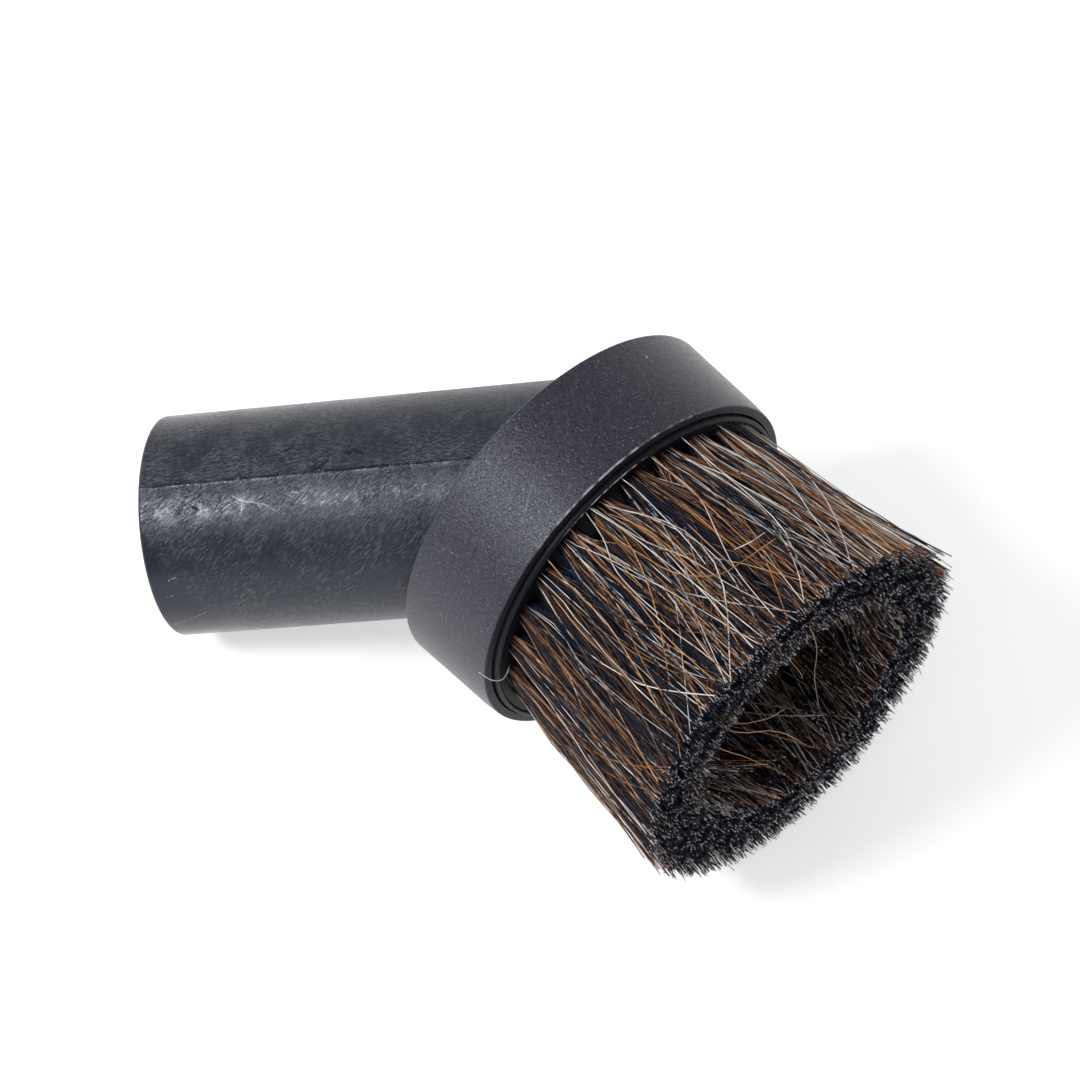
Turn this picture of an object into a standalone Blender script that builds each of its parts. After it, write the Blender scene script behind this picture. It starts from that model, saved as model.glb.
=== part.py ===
"""Vacuum dusting brush: an angled housing, a snapped-in bristle ring, hair tufts and their wire anchors.

Lengths are metres. Everything is modelled in the brush's own frame: the origin is the centre of the
bristle ring's face, +Z runs along the bristles, and the tube leaves towards +X and -Z. An empty then
lays the brush down as it rests on a table, on its bristle tips, its collar and its tube's mouth, with
+Z up, +X along the bristles and the origin under the middle of the object.
"""
import math

import bmesh
import bpy
from mathutils import Matrix, Vector

# Clearance left between pieces that touch
SEAT_GAP = 0.0003

# Collar, the short round cup that holds the bristle ring
COLLAR_FRONT_R = 0.0325
COLLAR_DRAFT = 0.0004
COLLAR_DEPTH = 0.0191
COLLAR_WALL = 0.00165
DRAW_IN = 0.00025
DRAW_IN_DEPTH = 0.0036
RIM_DROP = 0.0006
LAND_FALL = 0.00015
EDGE_BREAK = 0.00015
BACK_ROUND = 0.0004
BACK_WALL = 0.0024
LEDGE_WIDTH = 0.0018

# Tube, which leaves the collar's back face at an angle and takes the end of a wand
TUBE_ANGLE = math.radians(45.0)
TUBE_OFFSET = -0.0009
TUBE_LENGTH = 0.0666
TUBE_ROOT_R = 0.0185
TUBE_DRAFT = 0.0002
TUBE_WALL = 0.0023
WALL_GROWTH = 0.0005
MOUTH_ROUND = 0.0006
LEAD_IN = 0.0005
LEAD_IN_DEPTH = 0.0012
SEAM_HEIGHT = 0.00012
SEAM_HALF_ANGLE = math.radians(1.2)

# Bristle ring, the drilled carrier that is pushed into the collar
RING_THICKNESS = 0.0092
RING_WIDTH = 0.0100
RING_PROUD = 0.0003
RING_EDGE_ROUND = 0.0005
RING_BORE_ROUND = 0.0012
CREST_WIDTH = 0.00015
FACE_DROP = 0.0003
RING_BACK_CHAMFER = 0.0005

# Snap bead on the ring, and the groove for it in the collar
BEAD_DEPTH = 0.0055
BEAD_HEIGHT = 0.0005
BEAD_HALF_TOP = 0.0003
BEAD_HALF_FOOT = 0.0008

# Tufts of hair, each folded round its anchor in a blind hole of the ring
TUFT_COUNT = 24
TUFT_PHASE = math.radians(-3.0)
TUFT_INSET = 0.0046
HOLE_R = 0.0024
HOLE_DEPTH = 0.0070
BRISTLE_REACH = 0.0386
TIP_FLARE = 0.0003
TIP_BAND = 0.0110
TIP_SQUARENESS = 7.0
FULL_WIDTH_AT = 0.30
FLUTE_DEPTH = 0.08
TIP_RAGGED = 0.0005
FOLD_ROUND = 0.0007

# Anchors, cut from flat wire
ANCHOR_THICKNESS = 0.0004
ANCHOR_HEIGHT = 0.0016
FOLD_THICKNESS = 0.0011

# Fineness of the round forms
COLLAR_SEGMENTS = 96
RING_SEGMENTS = 64
TUBE_SEGMENTS = 72
HOLE_SEGMENTS = 14
TUFT_SIDES = 16
ROUND_STEPS = 3
TUFT_STATIONS = (0.10, 0.20, 0.30)
SHARP_ANGLE = math.radians(32.0)

# Sizes that follow from the ones above
COLLAR_BACK_R = COLLAR_FRONT_R + COLLAR_DRAFT
COLLAR_BACK_Z = -COLLAR_DEPTH
CHAMBER_BACK_Z = COLLAR_BACK_Z + BACK_WALL
SEAT_R = COLLAR_FRONT_R - COLLAR_WALL
CHAMBER_R = SEAT_R - LEDGE_WIDTH
RING_R = SEAT_R - SEAT_GAP
RING_BORE_R = RING_R - RING_WIDTH
RING_FACE_Z = RING_PROUD - FACE_DROP
RING_BACK_Z = RING_PROUD - RING_THICKNESS
LEDGE_Z = RING_BACK_Z - SEAT_GAP
BEAD_Z = RING_PROUD - BEAD_DEPTH
TUBE_MOUTH_R = TUBE_ROOT_R - TUBE_DRAFT
BORE_MOUTH_R = TUBE_MOUTH_R - TUBE_WALL
BORE_ROOT_R = TUBE_ROOT_R - TUBE_WALL - WALL_GROWTH
TUFT_CIRCLE_R = RING_R - TUFT_INSET
TUFT_ROOT_R = HOLE_R - SEAT_GAP
TUFT_SECTOR = math.tau / TUFT_COUNT
TIP_OUTER_R = COLLAR_FRONT_R + TIP_FLARE
TIP_MID_R = TIP_OUTER_R - TIP_BAND / 2
HOLE_FLOOR_Z = RING_FACE_Z - HOLE_DEPTH
TUFT_FOOT_Z = HOLE_FLOOR_Z + SEAT_GAP
ANCHOR_Z = TUFT_FOOT_Z + FOLD_THICKNESS + SEAT_GAP + ANCHOR_HEIGHT / 2

# The tube's own directions: along it, and two across it
TUBE_ALONG = Vector((math.sin(TUBE_ANGLE), 0.0, -math.cos(TUBE_ANGLE)))
TUBE_ACROSS = Vector((math.cos(TUBE_ANGLE), 0.0, math.sin(TUBE_ANGLE)))
TUBE_SIDE = Vector((0.0, 1.0, 0.0))
TUBE_START = Vector((TUBE_OFFSET, 0.0, COLLAR_BACK_Z))


def lerp(start, end, share):
    """The value a share of the way from start to end."""
    return start + (end - start) * share


def smooth_step(share):
    """A share eased at both ends."""
    return share * share * (3.0 - 2.0 * share)


def arc(centre, radii, start_deg, end_deg):
    """Points (r, z) on an elliptical arc round centre, ends included."""
    points = []
    for i in range(ROUND_STEPS + 1):
        a = math.radians(lerp(start_deg, end_deg, i / ROUND_STEPS))
        points.append((centre[0] + radii[0] * math.cos(a), centre[1] + radii[1] * math.sin(a)))
    return points


def finish_mesh(bm, name):
    """Turns the working mesh into mesh data with its faces pointing out and its round parts smooth."""
    bmesh.ops.recalc_face_normals(bm, faces=bm.faces[:])
    mesh = bpy.data.meshes.new(name)
    bm.to_mesh(mesh)
    bm.free()
    mesh.shade_smooth()
    mesh.set_sharp_from_angle(angle=SHARP_ANGLE)
    return mesh


def add_object(name, mesh, material=None, parent=None):
    """Links mesh data to the scene as an object."""
    obj = bpy.data.objects.new(name, mesh)
    bpy.context.scene.collection.objects.link(obj)
    if material is not None:
        mesh.materials.clear()
        mesh.materials.append(material)
    obj.parent = parent
    return obj


def lathe(profile, segments, name):
    """Spins a closed profile of (r, z) points round the Z axis into a closed ring."""
    bm = bmesh.new()
    verts = [bm.verts.new((r, 0.0, z)) for r, z in profile]
    edges = [bm.edges.new((v, verts[(i + 1) % len(verts)])) for i, v in enumerate(verts)]
    bmesh.ops.spin(bm, geom=verts + edges, cent=(0, 0, 0), axis=(0, 0, 1),
                   angle=math.tau, steps=segments, use_merge=True)
    bmesh.ops.remove_doubles(bm, verts=bm.verts[:], dist=1e-7)
    return finish_mesh(bm, name)


def loft(sections, name):
    """Skins a list of equal rings of points and caps both ends."""
    bm = bmesh.new()
    rings = [[bm.verts.new(p) for p in section] for section in sections]
    count = len(rings[0])
    for lower, upper in zip(rings, rings[1:]):
        for i in range(count):
            j = (i + 1) % count
            bm.faces.new((lower[i], lower[j], upper[j], upper[i]))
    bm.faces.new(rings[0])
    bm.faces.new(rings[-1])
    return finish_mesh(bm, name)


def box_mesh(size, centre, name):
    """A closed box."""
    bm = bmesh.new()
    bmesh.ops.create_cube(bm, size=1.0)
    bmesh.ops.scale(bm, vec=size, verts=bm.verts[:])
    bmesh.ops.translate(bm, vec=centre, verts=bm.verts[:])
    return finish_mesh(bm, name)


def combine(target, tool_mesh, operation):
    """Joins a tool mesh to an object, or cuts it out, and keeps the result as plain mesh data."""
    tool = add_object(target.name + "_tool", tool_mesh)
    cut = target.modifiers.new(operation.lower(), "BOOLEAN")
    cut.operation = operation
    cut.object = tool
    cut.solver = "EXACT"
    bpy.context.view_layer.update()
    result = bpy.data.meshes.new_from_object(target.evaluated_get(bpy.context.evaluated_depsgraph_get()))
    target.modifiers.clear()
    target.data = result
    bpy.data.objects.remove(tool)
    result.shade_smooth()
    result.set_sharp_from_angle(angle=SHARP_ANGLE)


def plastic(name, colour, roughness, metallic=0.0):
    """A Principled material."""
    material = bpy.data.materials.new(name)
    material.use_nodes = True
    shader = material.node_tree.nodes["Principled BSDF"]
    shader.inputs["Base Color"].default_value = (*colour, 1.0)
    shader.inputs["Roughness"].default_value = roughness
    shader.inputs["Metallic"].default_value = metallic
    return material


def tube_point(distance, radius, angle):
    """A point at a distance along the tube, off its axis by radius at an angle from the outer bend."""
    off_axis = TUBE_ACROSS * math.cos(angle) + TUBE_SIDE * math.sin(angle)
    return TUBE_START + TUBE_ALONG * distance + off_axis * radius


def tube_section(distance, radius, angles, seam=0.0):
    """A ring of points square to the tube, raised by seam at the mould's parting line on both sides."""
    ring = []
    for a in angles:
        on_seam = abs(math.cos(a)) < math.sin(SEAM_HALF_ANGLE / 2)
        ring.append(tube_point(distance, radius + (seam if on_seam else 0.0), a))
    return ring


def slide_to_plane(section, z):
    """Moves each point along the tube's direction until it lies in the plane at height z."""
    return [p + TUBE_ALONG * ((z - p.z) / TUBE_ALONG.z) for p in section]


def collar_profile():
    """Half section of the cup: rim land, broken edge, walls, chamber, ledge, seat and snap groove."""
    core_hole_r = BORE_ROOT_R / 2
    groove_r = SEAT_R + BEAD_HEIGHT
    groove_half = BEAD_HALF_FOOT + SEAT_GAP
    corner_r = COLLAR_FRONT_R - DRAW_IN
    edge_z = -RIM_DROP - LAND_FALL
    profile = [(SEAT_R, -RIM_DROP), (corner_r - EDGE_BREAK, edge_z), (corner_r, edge_z - EDGE_BREAK)]
    profile += [(COLLAR_FRONT_R, -DRAW_IN_DEPTH)]
    profile += arc((COLLAR_BACK_R - BACK_ROUND, COLLAR_BACK_Z + BACK_ROUND), (BACK_ROUND, BACK_ROUND), 0, -90)
    profile += [(core_hole_r, COLLAR_BACK_Z), (core_hole_r, CHAMBER_BACK_Z), (CHAMBER_R, CHAMBER_BACK_Z)]
    profile += [(CHAMBER_R, LEDGE_Z), (SEAT_R, LEDGE_Z)]
    profile += [(SEAT_R, BEAD_Z - groove_half), (groove_r, BEAD_Z - BEAD_HALF_TOP - SEAT_GAP)]
    profile += [(groove_r, BEAD_Z + BEAD_HALF_TOP + SEAT_GAP), (SEAT_R, BEAD_Z + groove_half)]
    return profile


def ring_profile():
    """Half section of the bristle ring: bore, face, crest, rounded outer edge, snap bead and back."""
    crest_r = RING_R - RING_EDGE_ROUND
    face_r = crest_r - CREST_WIDTH - FACE_DROP
    profile = [(RING_BORE_R, RING_BACK_Z)]
    profile += arc((RING_BORE_R + RING_BORE_ROUND, RING_FACE_Z - RING_BORE_ROUND),
                   (RING_BORE_ROUND, RING_BORE_ROUND), 180, 90)
    profile += [(face_r, RING_FACE_Z), (crest_r - CREST_WIDTH, RING_PROUD)]
    profile += arc((crest_r, RING_PROUD - RING_EDGE_ROUND), (RING_EDGE_ROUND, RING_EDGE_ROUND), 90, 0)
    profile += [(RING_R, BEAD_Z + BEAD_HALF_FOOT), (RING_R + BEAD_HEIGHT, BEAD_Z + BEAD_HALF_TOP)]
    profile += [(RING_R + BEAD_HEIGHT, BEAD_Z - BEAD_HALF_TOP), (RING_R, BEAD_Z - BEAD_HALF_FOOT)]
    profile += [(RING_R, RING_BACK_Z + RING_BACK_CHAMFER), (RING_R - RING_BACK_CHAMFER, RING_BACK_Z)]
    return profile


def make_housing(material, parent):
    """The one-piece moulding: a hollow cup with the tube growing out of its flat back face."""
    housing = add_object("housing", lathe(collar_profile(), COLLAR_SEGMENTS, "housing"), material, parent)

    angles = [math.tau * i / TUBE_SEGMENTS for i in range(TUBE_SEGMENTS)]
    for side in (math.pi / 2, 3 * math.pi / 2):
        angles += [side - SEAM_HALF_ANGLE, side + SEAM_HALF_ANGLE]
    angles.sort()
    root = tube_section(0.0, TUBE_ROOT_R, angles, SEAM_HEIGHT)
    shell = [slide_to_plane(root, COLLAR_BACK_Z + BACK_WALL / 2)]
    mouth_centre = (TUBE_MOUTH_R - MOUTH_ROUND, TUBE_LENGTH - MOUTH_ROUND)
    for r, s in arc(mouth_centre, (MOUTH_ROUND, MOUTH_ROUND), 0, 90):
        shell.append(tube_section(s, r, angles, SEAM_HEIGHT if s < TUBE_LENGTH - MOUTH_ROUND / 2 else 0.0))
    combine(housing, loft(shell, "tube_shell"), "UNION")

    # The bore starts inside the cup and runs out past the mouth, where its lead-in opens it a little
    past = 0.001
    lead_slope = LEAD_IN / LEAD_IN_DEPTH
    bore = [slide_to_plane(tube_section(0.0, BORE_ROOT_R, angles), CHAMBER_BACK_Z + past)]
    bore.append(tube_section(TUBE_LENGTH - LEAD_IN_DEPTH, BORE_MOUTH_R, angles))
    bore.append(tube_section(TUBE_LENGTH + past, BORE_MOUTH_R + LEAD_IN + past * lead_slope, angles))
    combine(housing, loft(bore, "tube_bore"), "DIFFERENCE")
    return housing


def make_bristle_ring(material, parent):
    """The carrier ring with a blind hole for each tuft."""
    ring = add_object("bristle_ring", lathe(ring_profile(), RING_SEGMENTS, "bristle_ring"), material, parent)
    bm = bmesh.new()
    cut_height = HOLE_DEPTH + RING_PROUD
    for angle in tuft_angles():
        made = bmesh.ops.create_cone(bm, cap_ends=True, segments=HOLE_SEGMENTS, radius1=HOLE_R,
                                     radius2=HOLE_R, depth=cut_height)
        centre = Matrix.Rotation(angle, 3, "Z") @ Vector((TUFT_CIRCLE_R, 0.0, HOLE_FLOOR_Z + cut_height / 2))
        bmesh.ops.translate(bm, vec=centre, verts=made["verts"])
    combine(ring, finish_mesh(bm, "tuft_holes"), "DIFFERENCE")
    return ring


def tuft_angles():
    """Where the tufts stand round the ring."""
    return [TUFT_PHASE + TUFT_SECTOR * i for i in range(TUFT_COUNT)]


def tuft_ring(share, z, shrink=1.0, ragged=0.0):
    """One cross-section of a tuft: round at its root, a slice of the bristle ring towards the tips."""
    mid_r = lerp(TUFT_CIRCLE_R, TIP_MID_R, share)
    half_depth = lerp(TUFT_ROOT_R, TIP_BAND / 2, share)
    fan = smooth_step(min(share / FULL_WIDTH_AT, 1.0))
    power = lerp(2.0, TIP_SQUARENESS, fan)
    points = []
    for i in range(TUFT_SIDES):
        a = math.tau * i / TUFT_SIDES
        valley = i % 2
        reach = shrink * (1.0 - FLUTE_DEPTH * valley)
        reach /= (abs(math.cos(a)) ** power + abs(math.sin(a)) ** power) ** (1 / power)
        r = mid_r + half_depth * reach * math.cos(a)
        across = reach * math.sin(a)
        full = across * (TUFT_SECTOR / 2 - math.asin(SEAT_GAP / 2 / r))
        turn = lerp(math.asin(TUFT_ROOT_R * across / r), full, fan)
        points.append(Vector((r * math.cos(turn), r * math.sin(turn), z - ragged * valley)))
    return points


def tuft_mesh():
    """A folded bundle of hair at angle zero, with the window that its anchor passes through."""
    sections = [tuft_ring(0.0, TUFT_FOOT_Z, 1.0 - FOLD_ROUND / TUFT_ROOT_R)]
    sections.append(tuft_ring(0.0, TUFT_FOOT_Z + FOLD_ROUND))
    sections.append(tuft_ring(0.0, RING_FACE_Z))
    for share in TUFT_STATIONS:
        sections.append(tuft_ring(share, lerp(RING_FACE_Z, BRISTLE_REACH, share)))
    sections.append(tuft_ring(1.0, BRISTLE_REACH, ragged=TIP_RAGGED))
    sections.append(tuft_ring(1.0, BRISTLE_REACH - TIP_RAGGED, 0.6, -TIP_RAGGED))
    window = (2 * HOLE_R, ANCHOR_THICKNESS + 2 * SEAT_GAP, ANCHOR_HEIGHT + 2 * SEAT_GAP)
    bundle = add_object("tuft_form", loft(sections, "tuft"))
    combine(bundle, box_mesh(window, (TUFT_CIRCLE_R, 0.0, ANCHOR_Z), "anchor_window"), "DIFFERENCE")
    mesh = bundle.data
    bpy.data.objects.remove(bundle)
    return mesh


def make_tufts(hair, wire, parent):
    """Every tuft and the flat wire that holds it in its hole."""
    tuft = tuft_mesh()
    anchor_size = (2 * TUFT_ROOT_R, ANCHOR_THICKNESS, ANCHOR_HEIGHT)
    anchor = box_mesh(anchor_size, (TUFT_CIRCLE_R, 0.0, ANCHOR_Z), "anchor")
    for number, angle in enumerate(tuft_angles(), start=1):
        for name, mesh, material in (("tuft", tuft, hair), ("anchor", anchor, wire)):
            piece = add_object(f"{name}_{number:02d}", mesh, material, parent)
            piece.rotation_euler.z = angle


def lowest_point(centre, axis, radius, up):
    """The point of a round rim that is lowest along up."""
    across = up - axis * axis.dot(up)
    return centre - across.normalized() * radius


def table_normal():
    """The upward normal of the table that the bristle tips, the collar's back rim and the mouth touch."""
    brush_axis = Vector((0.0, 0.0, 1.0))
    rims = [
        (Vector((0.0, 0.0, BRISTLE_REACH)), brush_axis, TIP_OUTER_R),
        (Vector((0.0, 0.0, COLLAR_BACK_Z + BACK_ROUND)), brush_axis, COLLAR_BACK_R),
        (TUBE_START + TUBE_ALONG * (TUBE_LENGTH - MOUTH_ROUND), TUBE_ALONG, TUBE_MOUTH_R),
    ]
    up = Vector((0.0, -1.0, 0.0))
    for _ in range(20):
        feet = [lowest_point(*rim, up) for rim in rims]
        up = (feet[1] - feet[0]).cross(feet[2] - feet[0]).normalized()
        if up.y > 0:
            up.negate()
    return up


def lay_down(root):
    """Turns the brush so that it lies on the table, with the origin at the bottom of its middle."""
    up = table_normal()
    along = (Vector((0.0, 0.0, 1.0)) - up * up.z).normalized()
    turn = Matrix((along, up.cross(along), up)).to_4x4()
    bpy.context.view_layer.update()
    corners = [turn @ (piece.matrix_world @ v.co) for piece in root.children for v in piece.data.vertices]
    low = [min(p[axis] for p in corners) for axis in range(3)]
    high = [max(p[axis] for p in corners) for axis in range(3)]
    middle = Vector(((low[0] + high[0]) / 2, (low[1] + high[1]) / 2, low[2]))
    root.matrix_world = Matrix.Translation(-middle) @ turn


def main():
    for obj in list(bpy.data.objects):
        bpy.data.objects.remove(obj)
    root = bpy.data.objects.new("brush_frame", None)
    bpy.context.scene.collection.objects.link(root)
    make_housing(plastic("housing_plastic", (0.050, 0.053, 0.062), 0.46), root)
    make_bristle_ring(plastic("ring_plastic", (0.028, 0.029, 0.034), 0.42), root)
    hair = plastic("horsehair", (0.060, 0.038, 0.026), 0.55)
    wire = plastic("anchor_wire", (0.62, 0.60, 0.55), 0.35, 1.0)
    make_tufts(hair, wire, root)
    lay_down(root)


main()
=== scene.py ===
"""Looks of the vacuum dusting brush: moulded black plastic, scuffed and scratched, and tufts of horsehair.

Lengths are metres. Most values are in the brush's own frame: the origin is the centre of the bristle
ring's face, +Z runs along the bristles, and the tube leaves towards +X and -Z.
"""

import math
from collections import namedtuple
from types import SimpleNamespace

import bpy
import numpy as np
from mathutils import Matrix, Quaternion, Vector


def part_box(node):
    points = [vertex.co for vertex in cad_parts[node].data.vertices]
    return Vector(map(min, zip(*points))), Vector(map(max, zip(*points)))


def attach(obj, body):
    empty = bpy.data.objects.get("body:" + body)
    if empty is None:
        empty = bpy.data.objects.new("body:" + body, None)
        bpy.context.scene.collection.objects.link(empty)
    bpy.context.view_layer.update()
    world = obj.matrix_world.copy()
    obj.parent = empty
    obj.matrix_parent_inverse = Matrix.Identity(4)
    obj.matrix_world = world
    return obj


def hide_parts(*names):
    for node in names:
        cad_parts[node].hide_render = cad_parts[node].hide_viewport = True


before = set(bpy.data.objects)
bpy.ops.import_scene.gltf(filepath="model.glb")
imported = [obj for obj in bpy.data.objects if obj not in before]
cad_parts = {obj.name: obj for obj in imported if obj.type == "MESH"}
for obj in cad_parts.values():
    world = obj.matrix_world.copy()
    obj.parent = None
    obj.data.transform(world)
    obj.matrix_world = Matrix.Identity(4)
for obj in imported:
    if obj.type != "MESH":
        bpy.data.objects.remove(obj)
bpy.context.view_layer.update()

# The brush, as its solids have it
ANCHOR_Z = -0.0045
FIRST_TUFT_ANGLE = math.radians(-3.0)
TUFT_ROOT_R = 0.0021
TIP_BAND = 0.0110
TIP_OUTER_R = 0.0328
BRISTLE_REACH = 0.0386
COLLAR_R = 0.0327
COLLAR_DEPTH = 0.0191
RIM_EDGE_R = 0.03220
RIM_EDGE_Z = -0.00082
CREST_R = 0.02998
TUBE_START = Vector((-0.0009, 0.0, -COLLAR_DEPTH))
TUBE_ANGLE = math.radians(45.0)
TUBE_R = 0.0184
TUBE_LENGTH = 0.0666

# The tube's surface: streaks that turn round it (radians per metre) above and below the mould seam, worn
# patches, polish near its mouth and satin near its root. A FADE is where something starts and where it is
# full.
UPPER_TURN = 8.0
LOWER_TURN = 42.0
UPPER_STREAK = 0.00028
LOWER_STREAK = 0.00026
STREAK_SQUEEZE = 0.26
SPECKLE = 0.00030
WORN_PATCH = 0.0060
POLISH_SLANT = 0.55
POLISH_WANDER = 0.0080
POLISH_FADE = (TUBE_LENGTH + 0.0055, TUBE_LENGTH + 0.0100)
SATIN_FADE = (0.060, 0.010)
SEAM_BLUR = 0.0010
SEAM_LINE = 0.00025
SEAM_FADE = (0.00030, 0.00012)
SEAM_GAP = 0.0020
RAGGED_BY = 0.0005

# The collar's and the ring's surface: grain, edges that are pale in patches where they face up, which is
# wear with a painted highlight, and a land darkened with painted shade
COLLAR_GRAIN = 0.00036
COLLAR_SPECK = 0.00032
COLLAR_CLOUD = 0.0060
TUBE_FADE = (-COLLAR_DEPTH - 0.0001, -COLLAR_DEPTH - 0.0003)
# Where the land inside the rim is darkened with painted shade
LAND_FADE = (RIM_EDGE_R - 0.00002, RIM_EDGE_R - 0.00015)
LAND_HEIGHT_FADE = (-0.00088, -0.00080)
# The rim edge's pale patches, kept to its upper side: wear, with a painted highlight
RIM_WEAR_AND_HIGHLIGHT_FADE = (0.00026, 0.00012)
RIM_WEAR_AND_HIGHLIGHT_PATCH = 0.0016
RIM_WEAR_AND_HIGHLIGHT_AT = math.radians(-105.0)
RIM_WEAR_AND_HIGHLIGHT_SPREAD = (math.radians(48.0), 0.15)
RING_GRAIN = 0.00030
RING_DUST = 0.00080
CREST_FADE = (0.00030, 0.00012)
# The crest's pale patches, kept to its upper side: wear, with a painted highlight
CREST_WEAR_AND_HIGHLIGHT_PATCH = 0.0013
CREST_WEAR_AND_HIGHLIGHT_AT = math.radians(-97.0)
CREST_WEAR_AND_HIGHLIGHT_SPREAD = (0.36, 0.16)
WIRE_LINE = 0.00010
PLASTIC_RELIEF = 0.00004
RING_RELIEF = 0.00002
SHARP_ANGLE = math.radians(32.0)
WELD_DISTANCE = 1e-7

# Marks as (start, end, half width): on the tube, distance along it and round it below the seam; on the
# collar, height and distance round it
TUBE_SCRATCHES = (
    ((0.0502, 0.0026), (0.0484, 0.0037), 0.00016),
    ((0.0484, 0.0036), (0.0448, 0.0044), 0.00018),
    ((0.0448, 0.0044), (0.0430, 0.0055), 0.00010),
    ((0.0485, 0.0036), (0.0488, 0.0059), 0.00010),
    ((0.0400, 0.0028), (0.0388, 0.0031), 0.00016),
    ((0.0630, 0.0160), (0.0616, 0.0155), 0.00007),
    ((0.0643, 0.0193), (0.0630, 0.0190), 0.00006),
    ((0.0662, 0.0273), (0.0588, 0.0237), 0.00005),
)
TUBE_NICKS = (
    ((0.0366, -0.0007), (0.0352, -0.0011), 0.00040),
    ((0.0352, -0.0011), (0.0340, -0.0020), 0.00036),
    ((0.0306, -0.0031), (0.0296, -0.0036), 0.00050),
    ((0.0296, -0.0036), (0.0282, -0.0029), 0.00042),
    ((0.0415, -0.0047), (0.0402, -0.0052), 0.00036),
    ((0.0569, 0.0040), (0.0564, 0.0042), 0.00030),
)
COLLAR_SCRATCHES = (
    ((-0.0084, -0.0479), (-0.0056, -0.0427), 0.00020),
    ((-0.0104, -0.0457), (-0.0104, -0.0434), 0.00014),
    ((-0.0032, -0.0474), (-0.0022, -0.0447), 0.00014),
)
COLLAR_CHIPS = (
    ((-0.0147, -0.0794), (-0.0143, -0.0791), 0.00022),
)

# Camera: where it looks, from which side, and how long its lens is
VIEW_TARGET = Vector((0.00688, 0.00314, 0.03586))
VIEW_AZIMUTH = math.radians(50.37)
VIEW_ELEVATION = math.radians(56.79)
VIEW_ROLL = math.radians(-3.08)
VIEW_DISTANCE = 0.8068
FOCAL_SHARE = 5000 / 1080
SENSOR_WIDTH = 36.0

# Studio: a room with pale walls, a little darker overhead, and one soft light
WALL_STRENGTH = 0.64
CEILING_STRENGTH = 0.57
WALL_TOP = 0.22
CEILING_EDGE = 0.62
KEY_DIRECTION = Vector((-0.225, -0.632, 0.741))
KEY_DISTANCE = 0.9
KEY_SIZE = 0.24
KEY_WATTS = 5.4
FLOOR_RADIUS = 4.0
FLOOR_SIDES = 96
FLOOR_ALBEDO = 0.76
FLOOR_LIFT = 0.52

# Hair: a tuft's hairs fill a round hole at the root and a square of -1 to 1 at the tips, x pointing outward.
# They gather in wisps that sway together, and their colours come in bands.
SEED = 7
HAIRS_PER_TUFT = 540
HAIR_POINTS = 12
HAIR_SIDES = 3
HAIR_RADIUS = (0.000052, 0.000085)
BRIGHT_HAIR_EXTRA = 0.000034
CUT_END = 0.993
HAIR_ROOT_Z = -0.0018
FLOOR_GAP = 0.00002
GOLDEN_ANGLE = math.pi * (3.0 - math.sqrt(5.0))
WISPS_ACROSS = 6
WISPS = WISPS_ACROSS ** 2
BANDS_ACROSS = 3
OUTER_LAYER = 0.66
OUTERMOST = 0.86
INNERMOST = -0.72

# How hairs spread from their hole. Heights are shares of the bristles' reach, from 0 at the ring's face.
FAN_RATE = 10.0
GATHERED_MIDWAY = 0.14
GATHERED_AT_TIPS = 0.36
HIGHEST = 1.1
STIFF_TO = 0.2
WISP_SWAY = 0.00045
SWAY_OUTWARD_RATE = 5.0
SWAY_SIDEWAYS_RATE = 4.2
SWAY_SIDEWAYS = 1.4
HAIR_WAVES = ((1.1, 0.00030), (2.3, 0.00014), (4.5, 0.00005))
WAVES_OUTWARD = 0.7

# How their tips end and stray: first by wisp, then by hair
WISP_UNEVEN = 0.00035
WISP_PROUD = 0.0004
HAIR_UNEVEN = 0.00018
PROUD_SHARE = 0.02
PROUD_BY = 0.0009
SHORT_SHARE = 0.04
SHORT_REACH = (0.45, 0.96)
WISP_OUTWARD = 0.00050
WISP_SIDEWAYS = 0.00050
HAIR_OUTWARD = 0.00020
HAIR_SIDEWAYS = 0.00060
HAIR_BOW = 0.0002
STRAY_POWER = 1.4
DROOPING_SHARE = 0.26
DROOP = (0.0005, 0.010)
DROOP_LOWERS = 0.35
DROOP_FROM = 0.4
DROOP_POWER = 1.8

# Hairs on the outer and inner side of a tuft that cross the others
Tangle = namedtuple("Tangle", "share sideways outward bow")
CROSSING = Tangle(share=0.45, sideways=0.0042, outward=(0.0, 0.0007), bow=0.0012)
WILD = Tangle(share=0.18, sideways=0.0095, outward=(0.0003, 0.0013), bow=0.0032)

# Where the ring of tips is out of round: tufts pressed in by the table, tufts whose inner hairs lean in, and
# tufts whose outer hairs splay
PRESSED_AT, PRESSED_SPREAD, PRESSED_BY = math.radians(115.0), math.radians(75.0), 0.0022
LEANING_AT, LEANING_SPREAD, LEANING_BY = math.radians(18.0), math.radians(50.0), 0.0035
SPLAYED_AT, SPLAYED_SPREAD, SPLAYED_BY = math.radians(205.0), math.radians(48.0), 0.0013
LEAN_POWER = 1.6

# Tones, from black at 0 through the browns to white at 1, and how each kind of hair leans towards either end
BROWN_TONES = (0.70, 0.92)
WISP_TONE = 0.10
BAND_TONE = 0.13
TANGLED_TONE = 0.18
STRAIGHT_TONE = -0.09
SPLAYED_TONE = 0.30
BURIED_TONE = -0.24
PALE_SHARE = 0.085
SPLAYED_PALER = 1.6
# More pale hairs on the inner side: partly the grey hairs there, partly painted light that lifts the shaded
# inside of the ring
INNER_PALER = 1.0
BRIGHT_FROM = 0.80
BRIGHT_RANGE = 0.12

# Each hair's colour flickers darker in stretches along it, painted shade for the dull parts between glints:
# its tone, times a large number, is its own place in the noise
HAIRS_APART = 4000.0
FLICKERS = 7.0
CUT_BLUR = 0.001

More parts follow.
